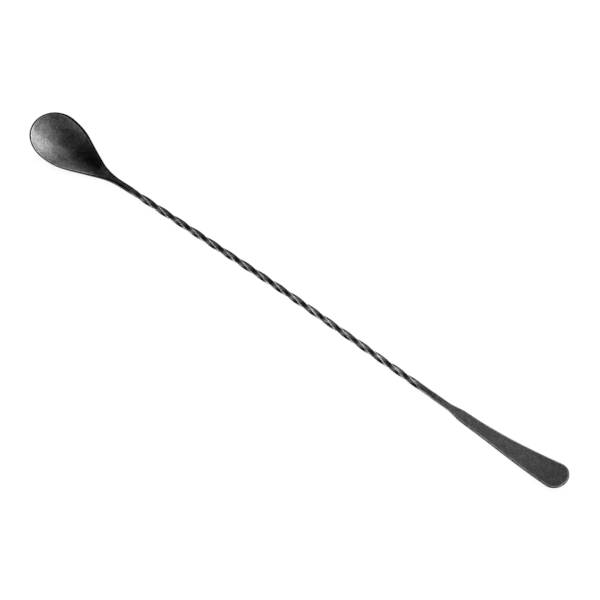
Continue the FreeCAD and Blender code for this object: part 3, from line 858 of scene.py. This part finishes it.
# painted shade on the blade's outermost edge and a painted highlight line inside it, both growing
# towards its end
along = places_of(look)[0]
dark = look.ramp(along, 1.0, 0.15, *(END_X - place for place in BLADE_RIM_START))
bright = look.ramp(along, 0.0, 2.5, *(END_X - place for place in BLADE_LINE_START))
painted_rim_shade(look, BLADE_DARK_RIM, dark, BLADE_HIGHLIGHT_LINE, bright)
paddle.data.materials.append(finished(look))

look = finished(coated_metal("weld_metal", record_tone("weld_metal", 1.0), 0.4, 0.4))
for weld in (bowl_weld, paddle_weld):
    weld.data.materials.append(look)

# ------------------------------------------------------------------------- camera

AZIMUTH = math.radians(36.857)
ELEVATION = math.radians(64.594)
ROLL = math.radians(-0.107)
DISTANCE = 2.07
LENS = 245.3
SENSOR_WIDTH = 36
CLIP = (0.05, 20)
AIM = (2.331 * MM, 2.488 * MM)     # how far the picture's middle is right of and above the origin


def make_camera():
    back = Vector((
        math.sin(AZIMUTH) * math.cos(ELEVATION),
        -math.cos(AZIMUTH) * math.cos(ELEVATION),
        math.sin(ELEVATION),
    ))
    level = Vector((math.cos(AZIMUTH), math.sin(AZIMUTH), 0))
    turn = Matrix.Rotation(ROLL, 3, back)
    right = turn @ level
    up = turn @ back.cross(level)
    camera = bpy.data.objects.new("camera", bpy.data.cameras.new("camera"))
    bpy.context.scene.collection.objects.link(camera)
    place = back * DISTANCE + right * AIM[0] + up * AIM[1]
    camera.matrix_world = Matrix((
        (right.x, up.x, back.x, place.x),
        (right.y, up.y, back.y, place.y),
        (right.z, up.z, back.z, place.z),
        (0, 0, 0, 1),
    ))
    camera.data.lens = LENS
    camera.data.sensor_width = SENSOR_WIDTH
    camera.data.clip_start, camera.data.clip_end = CLIP
    bpy.context.scene.camera = camera


make_camera()

# ------------------------------------------------------------------------- stage and light

LIGHT_DISTANCE = 1.2               # from the origin
LOW_BOX = 0.4                      # side of the soft boxes near the table
HIGH_BOX = 0.45                    # and of those above or below it
FLOOR_RADIUS = 6
FLOOR_GAP = 0.02 * MM              # the spoon doesn't share a plane with the table
FLOOR_TONE = 0.22
FLOOR_GLOW = 0.86
WORLD_GLOW = 0.9


def make_floor():
    """White light table: mostly lit from inside, so that it shows hardly any shadow."""
    mesh = bpy.data.meshes.new("floor")
    work = bmesh.new()
    bmesh.ops.create_circle(work, cap_ends=True, segments=96, radius=FLOOR_RADIUS)
    work.to_mesh(mesh)
    work.free()
    floor = bpy.data.objects.new("floor", mesh)
    bpy.context.scene.collection.objects.link(floor)
    floor.location.z = cad_low.z - FLOOR_GAP
    floor.visible_glossy = False
    n = Nodes("floor_paper")
    n.feed(n.shader, "Base Color", (FLOOR_TONE, FLOOR_TONE, FLOOR_TONE, 1))
    n.feed(n.shader, "Emission Color", (1, 1, 1, 1))
    n.feed(n.shader, "Emission Strength", FLOOR_GLOW)
    n.feed(n.shader, "Roughness", 1.0)
    n.feed(n.shader, "Specular IOR Level", 0.0)
    mesh.materials.append(n.material)


def soft_light(name, azimuth, elevation, size, watts, pieces, glow=False):
    """Square soft box seen in a given direction from the spoon, facing it, on some pieces only.

    azimuth is measured from -Y towards +X, elevation up from the floor, both in degrees.  A glow
    shines up through the light table, which doesn't shade it.
    """
    data = bpy.data.lights.new(name, "AREA")
    data.shape = "SQUARE"
    data.size = size
    data.energy = watts
    light = bpy.data.objects.new(name, data)
    bpy.context.scene.collection.objects.link(light)
    turn, lift = math.radians(azimuth), math.radians(elevation)
    direction = Vector((
        math.sin(turn) * math.cos(lift), -math.cos(turn) * math.cos(lift), math.sin(lift),
    ))
    light.location = direction * LIGHT_DISTANCE
    light.rotation_mode = "QUATERNION"
    light.rotation_quaternion = direction.to_track_quat("Z", "Y")
    light.visible_camera = False
    reach = bpy.data.collections.new(name + "_reach")
    for piece in pieces:
        reach.objects.link(piece)
    light.light_linking.receiver_collection = reach
    if glow:
        light.light_linking.blocker_collection = reach


def make_world():
    world = bpy.data.worlds.new("studio")
    world.use_nodes = True
    background = world.node_tree.nodes["Background"]
    background.inputs["Color"].default_value = (1, 1, 1, 1)
    background.inputs["Strength"].default_value = WORLD_GLOW
    world.cycles_visibility.glossy = False
    bpy.context.scene.world = world


make_floor()
make_world()
# A broad low bank beyond the spoon lights the bowl's near wall, and a weaker one does the same for
# the rod.  The others fill in, and none of them lights the table.
rod_and_welds = [rod, bowl_weld, paddle_weld]
spoon = [bowl, paddle] + rod_and_welds
soft_light("bank_left", 145, 12, LOW_BOX, 9.2, [bowl])
soft_light("bank_middle", 178, 12, LOW_BOX, 5.6, [bowl])
soft_light("bank_right", 210, 12, LOW_BOX, 1.5, [bowl])
soft_light("bank_upper", 162, 33, HIGH_BOX, 7.2, [bowl])
soft_light("bowl_front", 330, 12, LOW_BOX, 4.6, [bowl])
soft_light("bowl_side", 115, 14, LOW_BOX, 1.5, [bowl])
soft_light("bowl_top", 305, 58, HIGH_BOX, 0.15, [bowl])
soft_light("bowl_near", 30, 48, HIGH_BOX, 0.25, [bowl])
soft_light("rod_bank_left", 150, 12, LOW_BOX, 5, rod_and_welds)
soft_light("rod_bank_middle", 180, 12, LOW_BOX, 3.3, rod_and_welds)
soft_light("rod_bank_upper", 165, 33, HIGH_BOX, 3.9, rod_and_welds)
soft_light("rod_front", 345, 18, LOW_BOX, 3.4, rod_and_welds)
soft_light("front", 345, 18, LOW_BOX, 4, [paddle])
soft_light("rod_glow", 320, -70, HIGH_BOX, 2.5, rod_and_welds, True)
soft_light("paddle_glow", 320, -66, HIGH_BOX, 1.2, [paddle], True)
soft_light("bowl_glow", 320, -66, HIGH_BOX, 1.0, [bowl], True)
soft_light("paddle_end", 243, 41, HIGH_BOX, 0.4, [paddle])
soft_light("side_low", 60, 12, LOW_BOX, 4.3, spoon)
soft_light("top_left", 120, 54, HIGH_BOX, 3, spoon)
soft_light("top_right", 200, 54, HIGH_BOX, 1.3, spoon)
soft_light("top_near", 80, 54, HIGH_BOX, 1, spoon)
soft_light("front_upper", 0, 33, HIGH_BOX, 1.2, spoon)
bpy.context.scene.view_settings.view_transform = "Standard"
